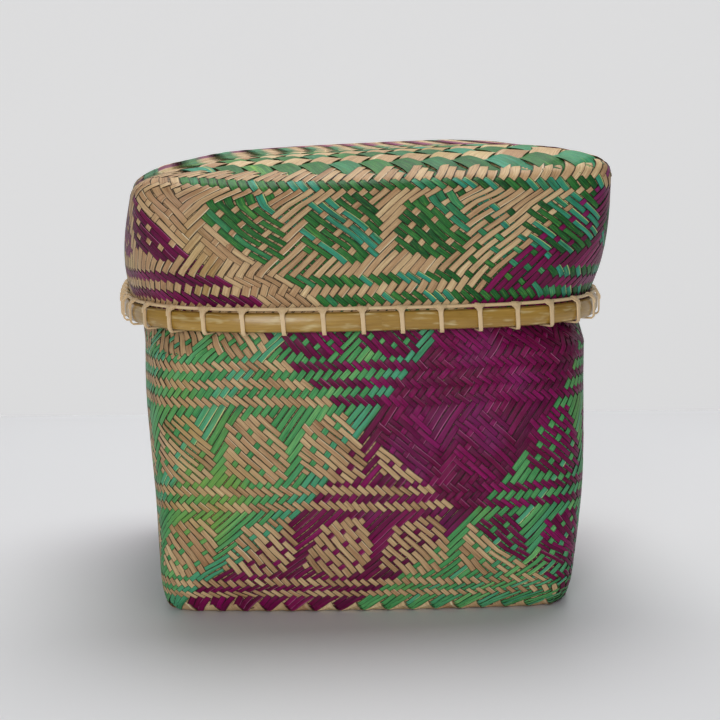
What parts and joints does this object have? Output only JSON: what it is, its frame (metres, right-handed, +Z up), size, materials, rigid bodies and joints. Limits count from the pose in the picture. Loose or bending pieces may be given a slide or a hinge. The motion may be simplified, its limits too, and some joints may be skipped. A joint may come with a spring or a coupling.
{
  "type": "woven box",
  "caption": "Square bias-plaited bamboo box with a pillow-topped telescoping lid, split-bamboo rim hoops and cane lashing.",
  "frame": {"origin": "middle of the flat underside that the box rests on", "axes": "+Z up out of the lid, -Y towards the front as pictured, +X to the right; the lid's sides lie along X and Y"},
  "size_m": [0.2412, 0.2412, 0.2216],
  "materials": {
    "dyed_bamboo_weave": "thin bamboo strips, natural tan and dyed green and magenta-purple, plaited on the bias, satin with fine lengthwise fibres",
    "plain_bamboo_weave": "wide undyed bamboo strips in a plain weave, satin",
    "split_bamboo": "half-round split bamboo with its glossy olive-yellow skin outwards",
    "cane": "pale cream flat and round cane, satin"
  },
  "bodies": {
    "base": {"base_basket": "dyed_bamboo_weave", "base_lining": "plain_bamboo_weave", "base_outer_hoop": "split_bamboo", "base_inner_hoop": "split_bamboo", "base_lashing": "cane"},
    "lid": {"lid_cover": "dyed_bamboo_weave", "lid_lining": "plain_bamboo_weave", "lid_outer_hoop": "split_bamboo", "lid_inner_hoop": "split_bamboo", "lid_lashing": "cane"}
  },
  "joints": [
    {"name": "lid_lift", "type": "slide", "parent": "base", "child": "lid", "axis": [0, 0, 1], "range_m": [0, 0.18]}
  ]
}
